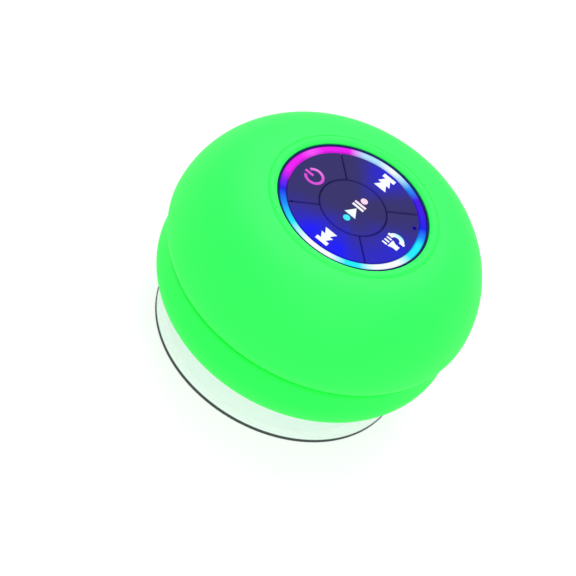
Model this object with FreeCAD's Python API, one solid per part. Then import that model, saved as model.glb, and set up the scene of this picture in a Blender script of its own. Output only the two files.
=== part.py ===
"""A round shower speaker on a clear suction cup, as separate pieces in millimetres.

The cup's rim stands on z = 0 and the axis of the body is +Z. The keypad faces up, its symbols read
along +X, and the charging port is in the side wall towards +Y. Every function makes one piece, or one
group of like pieces.
"""

import FreeCAD
import Part

import math
import os

V = FreeCAD.Vector
UP = V(0, 0, 1)

# ---- driving dimensions of the body ----
KEYPAD_Z = 55.5  # top face of the keys
DOME_CREST = 0.45  # crest of the dome above the keypad
DOME_FIRST_R = 23.9  # where the dome leaves the raised bead round the keypad
DOME_ARCS = [(16.5, 90.0, 44.4), (25.5, 44.4, 0.0), (6.4, 0.0, -69.6)]  # radius, from and to angle
BAND_START = (39.23, 25.8)
BAND_ARCS = [
    (1.2, 90.0, 11.5),
    (40.0, 11.5, 5.0),
    (9.5, 5.0, -18.0),
    (14.0, -18.0, -46.0),
    (25.0, -46.0, -56.3),
]
BODY_BOTTOM = 9.2
SEAM_Z = 27.0
SKIN_T = 1.6
SKIN_GAP = 0.05
HOUSING_T = 1.8
BAND_T = 2.2

# ---- keypad ----
OPENING_R = 21.3
FRAME_R = (20.6, 21.2)
RING_R = (18.65, 20.55)
KEY_OUTER_R = 18.4
KEY_INNER_R = 9.58
CENTRE_KEY_R = 9.24
KEY_GAP = 0.36
KEY_T = 2.0
KEY_EDGE = 0.25
KEY_TRAVEL = 0.35
LEGEND_DEPTH = 0.5
LEGEND_PROUD = 0.02
BEARINGS = {"next": 0.0, "power": 90.0, "previous": 180.0, "call_light": 270.0}
PAD_INSET = 1.3
PAD_GAP = 0.05
MIC_R, MIC_BEARING = 17.4, 135.0
STATUS_R, STATUS_BEARING = 17.2, -61.0
KEYPAD_BOARD_Z = (49.4, 50.6)
WEB_Z = (51.9, 52.3)

# ---- main board ----
BOARD_R = 27.0
BOARD_Z = (43.6, 45.2)
LED_COUNT = 12
LED_R = 19.1
BOARD_BOSS_R = 25.2
HOUSING_BOSS_R = 30.6
SPACER_R, SPACER_BEARING = 15.5, 30.0
CONNECTOR_R = 21.6

# ---- driver ----
BAFFLE_TOP = 16.0
SOUND_HOLE_R = 18.9
DRIVER_R = 21.0
PLATE_Z = 26.2
MAGNET_Z = (28.2, 33.7)
YOKE_TOP = 35.5
COIL_R = (6.6, 6.8, 7.3)
CONE_R = (6.8, 15.85)
CONE_Z = (22.6, 16.6)

# ---- suction cup and its turning collar ----
CUP_R = 34.5
STEM_R = 5.0
RUNNING_GAP = 0.05
COLLAR_R = 7.9
COLLAR_FLANGE_R = 9.4
COLLAR_Z = (9.3, 13.0, 14.8)
COVER_R = 27.3
COVER_T = 2.0
HUB_R = 12.4
HUB_TOP = 15.0

# ---- charging port ----
PORT_X = 7.5
PORT_Z = (16.3, 23.8)
PORT_COVER_T = 1.35
SOCKET_Z = (18.2, 21.4)
SOCKET_MOUTH_Y = 38.6


# ---- helpers ----
def polar(radius, bearing, z=0.0):
    """The point at a radius and a bearing in degrees from +X."""
    a = math.radians(bearing)
    return V(radius * math.cos(a), radius * math.sin(a), z)


def tangent_arcs(start, arcs, offset=0.0):
    """(centre r, centre z, radius, from, to) of arcs that run on smoothly, each moved inwards by offset."""
    r, z = start
    before = arcs[0][0]
    found = []
    for radius, a0, a1 in arcs:
        turn = math.radians(a0)
        r += (before - radius) * math.cos(turn)
        z += (before - radius) * math.sin(turn)
        found.append((r, z, radius - offset, a0, a1))
        before = radius
    return found


def dome(offset=0.0, last_angle=None):
    """The arcs of the dome's section, from the crest down, moved inwards by offset."""
    arcs = tangent_arcs((DOME_FIRST_R, KEYPAD_Z + DOME_CREST - DOME_ARCS[0][0]), DOME_ARCS, offset)
    if last_angle is not None:
        r, z, radius, a0, _ = arcs[-1]
        arcs[-1] = (r, z, radius, a0, last_angle)
    return arcs


def band(offset=0.0, top=None, bottom=None):
    """The arcs of the lower band's section, from the seam down, cut at the heights top and bottom."""
    arcs = tangent_arcs(BAND_START, BAND_ARCS, offset)
    if top is not None:
        while arcs[0][2] <= 0 or arcs[0][1] + arcs[0][2] * math.sin(math.radians(arcs[0][4])) > top:
            arcs.pop(0)
        r, z, radius, _, a1 = arcs[0]
        arcs[0] = (r, z, radius, math.degrees(math.asin((top - z) / radius)), a1)
    if bottom is not None:
        while arcs[-1][1] + arcs[-1][2] * math.sin(math.radians(arcs[-1][3])) < bottom:
            arcs.pop()
        r, z, radius, a0, _ = arcs[-1]
        arcs[-1] = (r, z, radius, a0, math.degrees(math.asin((bottom - z) / radius)))
    return arcs


def backwards(arcs):
    """The same arcs walked the other way."""
    return [(r, z, radius, a1, a0) for r, z, radius, a0, a1 in reversed(arcs)]


class Outline:
    """A closed outline in the r-z half plane: straight runs and arcs, then spun about Z."""

    def __init__(self, r, z):
        self.first = self.last = V(r, 0, z)
        self.edges = []

    def to(self, *points):
        for r, z in points:
            here = V(r, 0, z)
            if (here - self.last).Length > 1e-6:
                self.edges.append(Part.makeLine(self.last, here))
                self.last = here
        return self

    def through(self, middle, end):
        """An arc through a middle point to an end point."""
        end = V(end[0], 0, end[1])
        self.edges.append(Part.Arc(self.last, V(middle[0], 0, middle[1]), end).toShape())
        self.last = end
        return self

    def along(self, arcs):
        """Arcs about their centres, with a straight run to the first one if it starts elsewhere."""
        for r, z, radius, a0, a1 in arcs:
            at = [math.radians(a) for a in (a0, (a0 + a1) / 2, a1)]
            start, middle, end = [(r + radius * math.cos(a), z + radius * math.sin(a)) for a in at]
            self.to(start).through(middle, end)
        return self

    def spin(self):
        self.to((self.first.x, self.first.z))
        face = Part.Face(Part.Wire(Part.__sortEdges__(self.edges)))
        solid = face.revolve(V(0, 0, 0), UP, 360)
        return solid if solid.Volume > 0 else solid.reversed()


def ring(inner, outer, z0, z1):
    """A plain ring, or a disc where inner is 0."""
    solid = Part.makeCylinder(outer, z1 - z0, V(0, 0, z0))
    if inner:
        solid = solid.cut(Part.makeCylinder(inner, z1 - z0, V(0, 0, z0)))
    return solid


def rod(radius, z0, z1, centre):
    """An upright cylinder at a plan position."""
    return Part.makeCylinder(radius, z1 - z0, V(centre.x, centre.y, z0))


def block(size, middle, z0, bearing=0.0):
    """An upright box standing on z0, its middle at a plan position, turned by bearing."""
    length, width, height = size
    solid = Part.makeBox(length, width, height, V(-length / 2, -width / 2, 0))
    solid.rotate(V(0, 0, 0), UP, bearing)
    solid.translate(V(middle.x, middle.y, z0))
    return solid


def rounded_block(size, middle, z0, corner):
    """An upright box with round upright corners."""
    solid = block(size, middle, z0)
    upright = [e for e in solid.Edges if abs(e.tangentAt(e.FirstParameter).z) > 0.9]
    return solid.makeFillet(corner, upright)


def fuse(shapes):
    joined = shapes[0].multiFuse(shapes[1:]) if len(shapes) > 1 else shapes[0]
    return joined.removeSplitter()


def four(radius, first=45.0):
    """Four plan positions, a quarter turn apart."""
    return [polar(radius, first + 90 * n) for n in range(4)]


def lead(points, radius):
    """A round wire along straight runs joined by tangent arcs."""
    points = [V(*p) for p in points]
    edges = []
    last = points[0]
    for before, here, after in zip(points, points[1:], points[2:]):
        back, on = before - here, after - here
        run = min(back.Length, on.Length)
        back.normalize()
        on.normalize()
        half_turn = (math.pi - back.getAngle(on)) / 2
        reach = 0.45 * run
        bend = reach / math.tan(half_turn)
        middle = back + on
        middle.normalize()
        inside = here + middle * (bend / math.cos(half_turn) - bend)
        start, end = here + back * reach, here + on * reach
        edges += [Part.makeLine(last, start), Part.Arc(start, inside, end).toShape()]
        last = end
    edges.append(Part.makeLine(last, points[-1]))
    path = Part.Wire(edges)
    profile = Part.Wire([Part.makeCircle(radius, points[0], points[1] - points[0])])
    return path.makePipeShell([profile], True, True)


def save(name, shape):
    """Writes one piece as a STEP file, after a check that it is closed and sound."""
    if isinstance(shape, list):
        shape = Part.makeCompound(shape)
    solids = shape.Solids
    if not solids or not shape.isValid() or any(s.Volume <= 0 for s in solids):
        raise ValueError(f"{name} is not a sound solid")
    shape = solids[0] if len(solids) == 1 else Part.makeCompound(solids)
    shape.exportStep(f"parts/{name}.step")
    print(f"{name}: {len(solids)} solid(s), {sum(s.Volume for s in solids):.1f} mm3")


# ---- shells ----
def dome_skin():
    """Soft silicone cover of the dome, with the raised bead round the keypad opening."""
    inner = dome(SKIN_T, -90)
    foot_r = inner[-1][0]
    lip_z = KEYPAD_Z + DOME_CREST - SKIN_T
    outline = Outline(OPENING_R, lip_z).to((OPENING_R, KEYPAD_Z + 0.15))
    outline.through((22.55, KEYPAD_Z + 1.0), (DOME_FIRST_R - 0.1, KEYPAD_Z + DOME_CREST))
    outline.along(dome())
    outline.to((foot_r, outline.last.z)).along(backwards(inner))
    return outline.spin()


def upper_housing():
    """Stiff inner shell of the dome, with bosses for the board and for the long body screws."""
    outer = dome(SKIN_T + SKIN_GAP, -90)
    inner = dome(SKIN_T + SKIN_GAP + HOUSING_T, -90)
    top = KEYPAD_Z + DOME_CREST - SKIN_T - SKIN_GAP
    foot = outer[-1][1] - outer[-1][2]
    outline = Outline(OPENING_R - 0.05, top - HOUSING_T).to((OPENING_R - 0.05, top))
    outline.along(outer).to((33.4, foot), (33.4, foot + HOUSING_T)).along(backwards(inner))
    shell = outline.spin()
    bosses = [rod(2.0, BOARD_Z[1], top - HOUSING_T + 0.4, p) for p in four(BOARD_BOSS_R, 0)]
    bosses += [rod(2.6, foot, 50.4, p) for p in four(HOUSING_BOSS_R)]
    solid = fuse([shell] + bosses)
    for p in four(BOARD_BOSS_R, 0):
        solid = solid.cut(rod(1.02, BOARD_Z[1] - 1, BOARD_Z[1] + 5, p))
    for p in four(HOUSING_BOSS_R):
        solid = solid.cut(rod(1.22, foot - 1, foot + 9, p))
    return solid


def band_ring(outer_offset, inner_offset, z0, z1):
    """A slice of the lower band's wall between two depths and two heights."""
    outline = Outline(0.0, 0.0)
    outer = band(outer_offset, z1, z0)
    first = outer[0]
    outline.first = outline.last = V(
        first[0] + first[2] * math.cos(math.radians(first[3])), 0, z1
    )
    outline.along(outer)
    return outline.along(backwards(band(inner_offset, z1, z0))).spin()


def port_window(half_width, z0, z1, corner, depth=20.0):
    """A rounded upright window seen along Y, as a prism that starts well inside the wall."""
    solid = Part.makeBox(2 * half_width, depth, z1 - z0, V(-half_width, 30, z0))
    along_y = [e for e in solid.Edges if abs(e.tangentAt(e.FirstParameter).y) > 0.9]
    return solid.makeFillet(corner, along_y)


def lower_housing():
    """Lower shell: the visible band, the floor, the baffle for the driver and the screw posts."""
    outline = Outline(36.4, SEAM_Z)
    outline.along(band(0, SEAM_Z, BODY_BOTTOM))
    outline.to((COVER_R + 0.1, BODY_BOTTOM), (COVER_R + 0.1, BODY_BOTTOM + COVER_T + 0.05))
    outline.to((SOUND_HOLE_R, BODY_BOTTOM + COVER_T + 0.05), (SOUND_HOLE_R, BAFFLE_TOP))
    outline.to((DRIVER_R + 0.2, BAFFLE_TOP), (DRIVER_R + 0.2, 13.5))
    outline.along(backwards(band(BAND_T, 25.3, 13.5)))
    outline.to((33.6, 25.3), (33.6, 28.3), (36.4, 28.3))
    shell = outline.spin()
    posts = [rod(3.0, BODY_BOTTOM + 0.5, 28.3, p) for p in four(HOUSING_BOSS_R)]
    ribs = [block((3.0, 8.5, 3.6), V(x, 31.9, 0), 13.4) for x in (-6.2, 6.2)]
    solid = fuse([shell] + posts + ribs)
    cuts = [ring(34.4, 35.6, 27.3, 28.4)]
    cuts += [rod(2.2, BODY_BOTTOM - 1, 19.0, p) for p in four(HOUSING_BOSS_R)]
    cuts += [rod(1.4, 18.5, 29.0, p) for p in four(HOUSING_BOSS_R)]
    cuts += [rod(0.92, 11.0, 13.2, p) for p in four(25.0)]
    cuts += [rod(0.92, 14.4, 17.5, V(x, 30.0, 0)) for x in (-6.2, 6.2)]
    recess = band_ring(-1.0, PORT_COVER_T + 0.25, 14.4, 24.3)
    cuts.append(recess.common(port_window(PORT_X + 0.12, PORT_Z[0] - 0.15, PORT_Z[1] + 0.35, 1.6)))
    cuts.append(recess.common(port_window(3.1, 14.5, 17.0, 0.4)))
    cuts.append(port_window(4.8, 17.85, 21.75, 1.9))
    for cut in cuts:
        solid = solid.cut(cut)
    return solid


def bottom_cover():
    """Round cover with the sound slots, the hub that holds the turning collar, and its screw holes."""
    plate = ring(0, COVER_R, BODY_BOTTOM, BODY_BOTTOM + COVER_T)
    solid = fuse([plate, ring(0, HUB_R, BODY_BOTTOM, HUB_TOP)])
    solid = solid.cut(ring(0, COLLAR_R + 0.1, BODY_BOTTOM - 1, HUB_TOP + 1))
    solid = solid.cut(ring(0, COLLAR_FLANGE_R + 0.15, COLLAR_Z[1] - 0.1, HUB_TOP + 1))
    slot = fuse(
        [
            block((3.0, 1.7, 4.0), V(16.0, 0, 0), BODY_BOTTOM - 1),
            rod(0.85, BODY_BOTTOM - 1, BODY_BOTTOM + 3, V(14.5, 0, 0)),
            rod(0.85, BODY_BOTTOM - 1, BODY_BOTTOM + 3, V(17.5, 0, 0)),
        ]
    )
    for n in range(24):
        here = slot.copy()
        here.rotate(V(0, 0, 0), UP, 15 * n)
        solid = solid.cut(here)
    for p in four(25.0):
        solid = solid.cut(rod(1.0, BODY_BOTTOM - 1, 12, p))
        solid = solid.cut(rod(1.9, BODY_BOTTOM - 1, BODY_BOTTOM + 1.0, p))
    for n in range(3):
        solid = solid.cut(rod(0.62, HUB_TOP - 3.2, HUB_TOP + 1, polar(11.0, 90 + 120 * n)))
    return solid


def collar_retainer():
    """Plate that closes the hub and keeps the collar's flange in."""
    solid = ring(0, HUB_R, HUB_TOP, HUB_TOP + 1.2)
    for n in range(3):
        solid = solid.cut(rod(0.7, HUB_TOP - 1, HUB_TOP + 2, polar(11.0, 90 + 120 * n)))
    return solid


def sound_mesh():
    """Water-shedding mesh behind the sound slots."""
    top = BODY_BOTTOM + COVER_T
    return ring(HUB_R + 0.1, SOUND_HOLE_R - 0.2, top, top + 0.2)


def body_gasket():
    """Seal between the two housings, in the groove of the lower one."""
    outline = Outline(34.5, 27.35).to((35.5, 27.35), (35.5, 28.0))
    return outline.through((35.0, 28.38), (34.5, 28.0)).spin()


# ---- keypad ----
def keypad_frame():
    """Dark collar round the light ring, with a flange under the housing and a ledge for the ring."""
    inner, outer = FRAME_R
    outline = Outline(19.75, 51.5).to((inner, 51.5), (inner, 50.9), (23.0, 50.9), (23.0, 52.45))
    outline.to((outer, 52.45), (outer, KEYPAD_Z), (outer - 0.1, KEYPAD_Z + 0.1))
    return outline.to((inner + 0.1, KEYPAD_Z + 0.1), (inner, KEYPAD_Z), (inner, 53.2), (19.75, 53.2)).spin()


def light_ring():
    """Milky light guide: the glowing rim, and a skirt that reaches down to the lamps."""
    inner, outer = RING_R
    bevel = 0.2
    outline = Outline(inner, 47.4).to((inner + 1.0, 47.4), (inner + 1.0, 53.25), (outer, 53.25))
    outline.to((outer, KEYPAD_Z - bevel), (outer - bevel, KEYPAD_Z), (inner + bevel, KEYPAD_Z))
    return outline.to((inner, KEYPAD_Z - bevel)).spin()


def key_blank(name, inset, z0, z1):
    """A key's plan shape as a prism: the round centre key, or a quarter of the ring round it."""
    if name == "play_pause":
        return ring(0, CENTRE_KEY_R - inset, z0, z1)
    solid = ring(KEY_INNER_R + inset, KEY_OUTER_R - inset, z0, z1)
    side = 60.0
    wedge = Part.makeBox(side, side, z1 - z0, V(0, 0, z0))
    wedge.rotate(V(0, 0, 0), UP, -45)
    shift = (KEY_GAP / 2 + inset) * math.sqrt(2)
    wedge.translate(V(shift, 0, 0))
    wedge.rotate(V(0, 0, 0), UP, BEARINGS[name])
    return solid.common(wedge)


def key_cap(name):
    """A smoked key cap with soft top edges and pockets for its symbol."""
    solid = key_blank(name, 0.0, KEYPAD_Z - KEY_T, KEYPAD_Z)
    top = [e for e in solid.Edges if all(abs(v.Z - KEYPAD_Z) < 1e-6 for v in e.Vertexes)]
    solid = solid.makeFillet(KEY_EDGE, top)
    for piece in LEGENDS[name](KEYPAD_Z - LEGEND_DEPTH, KEYPAD_Z + 1):
        solid = solid.cut(piece)
    solid = solid.cut(rod(0.5, 50, 60, polar(MIC_R, MIC_BEARING)))
    return solid.cut(rod(0.6, 50, 60, polar(STATUS_R, STATUS_BEARING)))


def prism(points, z0, z1):
    """A flat polygon made into a prism."""
    corners = [V(x, y, z0) for x, y in points]
    return Part.Face(Part.makePolygon(corners + corners[:1])).extrude(V(0, 0, z1 - z0))


def bar(x0, x1, y0, y1, z0, z1):
    return Part.makeBox(x1 - x0, y1 - y0, z1 - z0, V(x0, y0, z0))


def power_symbol(z0, z1):
    """An open ring with a bar in its gap."""
    middle = polar(13.2, BEARINGS["power"])
    x, y = middle.x, middle.y
    outer, stroke = 2.85, 0.82
    loop = rod(outer, z0, z1, middle).cut(rod(outer - stroke, z0, z1, middle))
    gap = prism([(x, y), (x - 2.2, y + 4), (x + 2.2, y + 4)], z0, z1)
    return [loop.cut(gap), bar(x - stroke / 2, x + stroke / 2, y + 0.3, y + outer + 0.1, z0, z1)]


def skip_symbol(side, z0, z1):
    """Two arrowheads against a bar, pointing along side times X."""
    tip, height, drop = 17.25, 3.8, -0.8
    points = [(-5.4, 0.5), (-3.35, 0.2), (-3.35, 0.5), (-1.3, 0.2), (-1.3, 0.5), (0, 0.5)]
    half = [(tip + x, height * y) for x, y in points]
    whole = half + [(x, -y) for x, y in reversed(half)]
    return [prism([(side * x, y + drop) for x, y in whole], z0, z1)]


def play_pause_symbol(z0, z1):
    """A dot, a play arrow, two pause bars and a dot in one line."""
    drop = -0.75
    pieces = [rod(1.0, z0, z1, V(x, drop, 0)) for x in (-4.35, 4.35)]
    pieces.append(prism([(-2.8, drop - 1.8), (0.55, drop), (-2.8, drop + 1.8)], z0, z1))
    pieces += [bar(x, x + 0.75, drop - 1.8, drop + 1.8, z0, z1) for x in (0.9, 2.1)]
    return pieces


def call_light_symbol(z0, z1):
    """A torch with three rays on the left and a handset on the right."""
    x, y = -1.6, -14.9
    half = [(0.8, -1.35), (0.8, 0.0), (1.4, 1.3)]
    whole = half + [(-dx, dy) for dx, dy in reversed(half)]
    torch = prism([(x + dx, y + dy) for dx, dy in whole], z0, z1)
    rays = [bar(x + dx - 0.28, x + dx + 0.28, y + 1.65, y + 3.2, z0, z1) for dx in (-1.15, 0.0, 1.15)]
    bend = V(x + 1.75, y + 0.85, 0)
    arc = rod(2.55, z0, z1, bend).cut(rod(1.25, z0, z1, bend))
    arc = arc.common(bar(bend.x + 0.45, bend.x + 3, bend.y - 3, bend.y + 3, z0, z1))
    ends = [bend.y + side * 1.9 for side in (1, -1)]
    pads = [bar(bend.x + 0.2, bend.x + 1.0, end - 0.8, end + 0.8, z0, z1) for end in ends]
    return [torch, fuse([arc] + pads)] + rays


LEGENDS = {
    "next": lambda z0, z1: skip_symbol(1, z0, z1),
    "previous": lambda z0, z1: skip_symbol(-1, z0, z1),
    "power": power_symbol,
    "call_light": call_light_symbol,
    "play_pause": play_pause_symbol,
}
KEYS = ["play_pause", "next", "power", "previous", "call_light"]


def key_pad(name):
    """The thick pad of the silicone sheet under one key, just clear of the contacts of the board."""
    solid = key_blank(name, PAD_INSET, KEYPAD_BOARD_Z[1] + KEY_TRAVEL + 0.05, KEYPAD_Z - KEY_T)
    return solid.cut(rod(0.6, 48, 60, polar(STATUS_R, STATUS_BEARING)))


def keypad_membrane():
    """The silicone sheet round the pads: a thin web on walls that stand on the keypad board."""
    z0, z1 = KEYPAD_BOARD_Z[1], WEB_Z[0] + 0.1
    walls = ring(17.55, KEY_OUTER_R, z0, z1).fuse(ring(8.6, 10.2, z0, z1))
    spoke = Part.makeBox(8.0, 1.4, z1 - z0, V(9.9, -0.7, z0))
    pieces = [ring(0, KEY_OUTER_R, *WEB_Z), walls]
    for bearing in (45, 135, 225, 315):
        here = spoke.copy()
        here.rotate(V(0, 0, 0), UP, bearing)
        pieces.append(here)
    solid = fuse(pieces)
    for name in KEYS:
        solid = solid.cut(key_blank(name, PAD_INSET - PAD_GAP, z0 - 1, WEB_Z[1] + 1))
    solid = solid.cut(rod(0.5, 48, 60, polar(MIC_R, MIC_BEARING)))
    return solid.cut(rod(0.5, 48, 60, polar(STATUS_R, STATUS_BEARING)))


def keypad_board():
    """Round board with the contacts of the five keys."""
    solid = ring(0, KEY_OUTER_R, *KEYPAD_BOARD_Z)
    for p in four(SPACER_R, SPACER_BEARING):
        solid = solid.cut(rod(1.02, 48, 52, p))
    return solid.cut(rod(0.5, 48, 60, polar(MIC_R, MIC_BEARING)))


def status_pipe():
    """Clear pin that brings the status light up through a hole in the call key."""
    return rod(0.5, KEYPAD_BOARD_Z[1], KEYPAD_Z - 0.05, polar(STATUS_R, STATUS_BEARING))


def board_spacers():
    """Spacers between the two boards, each with a pin into the keypad board."""
    z0, z1, z2 = BOARD_Z[1], *KEYPAD_BOARD_Z
    places = four(SPACER_R, SPACER_BEARING)
    return [fuse([rod(1.6, z0, z1, p), rod(1.0, z1, z2, p)]) for p in places]


# ---- main board and power ----
def main_board():
    solid = ring(0, BOARD_R, *BOARD_Z)
    for p in four(BOARD_BOSS_R, 0):
        solid = solid.cut(rod(1.15, 40, 50, p))
    return solid


def board_chips():
    """The radio and amplifier chips, the coil, the crystal and the capacitors on the board."""
    top = BOARD_Z[1]
    pieces = [
        block((6, 6, 1.0), V(6.5, -8.0, 0), top, 45),
        block((4.9, 3.9, 1.5), V(-7.2, -7.2, 0), top, -45),
        block((3.2, 2.5, 0.8), V(-6.2, 7.0, 0), top, 45),
        block((4, 4, 2.0), V(-16.5, -16.5, 0), top, 45),
        rod(2.0, top, top + 4.4, V(16.3, -16.3, 0)),
        rod(2.0, top, top + 4.4, V(16.3, 16.3, 0)),
    ]
    pieces += [block((1.6, 0.8, 0.8), polar(23.6, 60 + 9 * n), top, 60 + 9 * n) for n in range(3)]
    return pieces + [block((1.6, 0.8, 0.8), polar(23.6, 150 + 9 * n), top, 150 + 9 * n) for n in range(3)]


def rgb_leds():
    """The lamps under the light ring."""
    step = 360 / LED_COUNT
    return [
        block((2.6, 3.2, 1.6), polar(LED_R, step * (n + 0.5)), BOARD_Z[1], step * (n + 0.5))
        for n in range(LED_COUNT)
    ]


def microphone():
    """The microphone under the keypad board, below the small hole between two keys."""
    middle = polar(MIC_R - 0.6, MIC_BEARING)
    return block((2.4, 3.0, 1.1), middle, KEYPAD_BOARD_Z[0] - 1.1, MIC_BEARING)


def board_link():
    """Pin header that joins the two boards."""
    return block((3.0, 11.0, KEYPAD_BOARD_Z[0] - BOARD_Z[1]), V(-13.5, 0, 0), BOARD_Z[1])


def wire_connectors():
    """Plugs under the board for the driver, the port and the battery."""
    z0, height = 41.0, BOARD_Z[0] - 41.0
    return [
        block((6, 3, height), V(0, -CONNECTOR_R, 0), z0),
        block((6, 3, height), V(0, CONNECTOR_R, 0), z0),
        block((3, 6, height), V(CONNECTOR_R, 0, 0), z0),
    ]


def battery_pad():
    return rounded_block((24, 20, 0.8), V(0, 0, 0), YOKE_TOP, 2.0)


def battery():
    """Flat lithium pouch with its folded end seal."""
    pouch = rounded_block((28.0, 24.0, 5.6), V(-1.0, 0, 0), YOKE_TOP + 0.8, 1.5)
    seal = block((2.4, 20.0, 1.2), V(14.1, 0, 0), YOKE_TOP + 2.8)
    return fuse([pouch, seal])


# ---- driver ----
def driver_frame():
    """Pressed basket that carries the driver, with four windows."""
    outline = Outline(DRIVER_R, 16.8).to((DRIVER_R, 17.8), (19.6, 17.8), (13.8, 24.2), (13.8, PLATE_Z))
    outline.to((9.0, PLATE_Z), (9.0, 25.4), (13.0, 25.4), (13.0, 23.9), (SOUND_HOLE_R, 17.2))
    solid = outline.to((SOUND_HOLE_R, 16.8)).spin()
    for n in range(4):
        solid = solid.cut(block((12, 9, 4.2), polar(17.5, 90 * n + 45), 18.9, 90 * n + 45))
    return solid


def driver_surround():
    """Rubber roll between the cone and the frame, bulging outwards."""
    roll_r, roll_z, radius, skin = 17.2, 16.6, 1.2, 0.3
    outline = Outline(20.8, 16.45).to((20.8, 16.75), (roll_r + radius - skin, 16.75))
    outline.to((roll_r + radius - skin, roll_z))
    outline.through((roll_r, roll_z - radius + skin), (roll_r - radius + skin, roll_z))
    outline.to((roll_r - radius + skin, 16.9), (roll_r - radius - 0.05, 16.9))
    outline.to((roll_r - radius - 0.05, 16.75), (roll_r - radius, 16.75), (roll_r - radius, roll_z))
    outline.through((roll_r, roll_z - radius), (roll_r + radius, roll_z)).to((roll_r + radius, 16.45))
    return outline.spin()


def driver_spider():
    """Pleated disc that centres the voice coil."""
    inner, outer, z, skin, height = 6.9, 12.9, 24.8, 0.25, 0.3
    count = 6
    pleats = [(inner + (outer - inner) * n / count, z + (height if n % 2 else 0)) for n in range(count + 1)]
    outline = Outline(*pleats[0]).to(*pleats[1:])
    return outline.to(*[(r, h + skin) for r, h in reversed(pleats)]).spin()


def driver_cone():
    """Paper cone with a short neck for the coil former and a flat rim under the surround."""
    (neck, rim), (neck_z, rim_z) = CONE_R, CONE_Z
    skin = 0.35
    outline = Outline(rim, rim_z + 0.35).to((neck + 0.02, neck_z + skin), (neck + 0.02, neck_z - 0.35))
    return outline.to((rim - 1.15, rim_z), (rim - 0.1, rim_z)).spin()


def dust_cap():
    """Thin dome that closes the middle of the cone."""
    edge, z, sag, skin = 6.3, 22.0, 1.5, 0.25
    half_way = (edge * 0.55, z - sag * 0.72)
    outline = Outline(0, z - sag).to((0.6, z - sag)).through(half_way, (edge, z)).to((edge, z + skin))
    outline.through((half_way[0], half_way[1] + skin), (0.6, z - sag + skin)).to((0, z - sag + skin))
    return outline.spin()


def voice_coil():
    """Coil former with its winding."""
    inner, former, winding = COIL_R
    outline = Outline(inner, 22.3).to((former, 22.3), (former, 26.15), (winding, 26.15), (winding, 30.2))
    return outline.to((former, 30.2), (former, 31.5), (inner, 31.5)).spin()


def driver_yoke():
    """Back plate and pole in one piece of steel."""
    outline = Outline(0, PLATE_Z).to((6.1, PLATE_Z), (6.1, MAGNET_Z[1]), (14.5, MAGNET_Z[1]))
    return outline.to((14.5, YOKE_TOP - 0.4), (14.1, YOKE_TOP), (0, YOKE_TOP)).spin()


def driver_terminals():
    """Tag board on the basket's rim with two solder tags."""
    board = block((8, 0.8, 4.0), V(0, -20.4, 0), 17.8)
    tags = [block((1.4, 1.2, 0.4), V(x, -21.4, 0), 20.4) for x in (-2, 2)]
    return fuse([board] + tags)


# ---- wires ----
def speaker_leads():
    path = [(-22.0, 20.6), (-24.4, 21.4), (-25.0, 26), (-23.8, 33), (-22.6, 37), (-22.6, 41)]
    return [lead([(x, y, z) for y, z in path], 0.5) for x in (-2, 2)]


def charging_leads():
    path = [(28.4, 18.2), (28.0, 22), (26.0, 27), (24.4, 32.5), (22.6, 37), (22.6, 41)]
    return [lead([(x, y, z) for y, z in path], 0.5) for x in (-1.2, 1.2)]


def battery_leads():
    z = YOKE_TOP + 3.4
    return [
        lead([(15.3, y, z), (18.2, y, z - 0.6), (21.4, y, z - 0.4), (22.6, y, z + 1.2)], 0.45)
        for y in (-1, 1)
    ]


# ---- charging port ----
def charging_board():
    solid = block((15.0, 9.0, 1.2), V(0, 31.9, 0), SOCKET_Z[0] - 1.2)
    for x in (-6.2, 6.2):
        solid = solid.cut(rod(1.0, 15, 20, V(x, 30.0, 0)))
    return solid


def usb_socket():
    """Steel shell of the charging socket with its tongue."""
    middle = sum(SOCKET_Z) / 2
    length = 7.3
    back = SOCKET_MOUTH_Y - length

    def racetrack(width, height, y0, y1):
        solid = Part.makeBox(width, y1 - y0, height, V(-width / 2, y0, middle - height / 2))
        along_y = [e for e in solid.Edges if abs(e.tangentAt(e.FirstParameter).y) > 0.9]
        return solid.makeFillet(height / 2 - 0.01, along_y)

    shell = racetrack(8.94, 3.2, back, SOCKET_MOUTH_Y)
    shell = shell.cut(racetrack(8.34, 2.6, back + 1.0, SOCKET_MOUTH_Y + 1))
    tongue = Part.makeBox(6.7, 4.9, 0.7, V(-3.35, back + 0.5, middle - 0.35))
    return fuse([shell, tongue])


def port_cover():
    """Silicone cover of the port: it follows the wall outside, and a plug inside fills the window."""
    plate = band_ring(0.02, PORT_COVER_T, *PORT_Z).common(port_window(PORT_X, *PORT_Z, 1.5))
    middle = sum(SOCKET_Z) / 2
    plug = port_window(4.6, middle - 1.75, middle + 1.75, 1.7, 10.0)
    plug = plug.common(Part.makeBox(20, 1.4, 20, V(-10, SOCKET_MOUTH_Y + 0.2, 10)))
    return fuse([plate, plug])


def port_cover_root():
    """The fixed end of the cover's flexible strap."""
    return band_ring(0.05, PORT_COVER_T, 14.6, 16.1).common(port_window(3.0, 14.6, 16.1, 0.35))


# ---- suction cup ----
def cup_collar():
    """Turning collar: the cup's stem plugs into its bore, and its flange is caught in the hub."""
    z0, z1, z2 = COLLAR_Z
    bore = STEM_R + RUNNING_GAP
    outline = Outline(bore, z0).to((COLLAR_R, z0), (COLLAR_R, z1), (COLLAR_FLANGE_R, z1))
    return outline.to((COLLAR_FLANGE_R, z2), (bore, z2)).spin()


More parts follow.
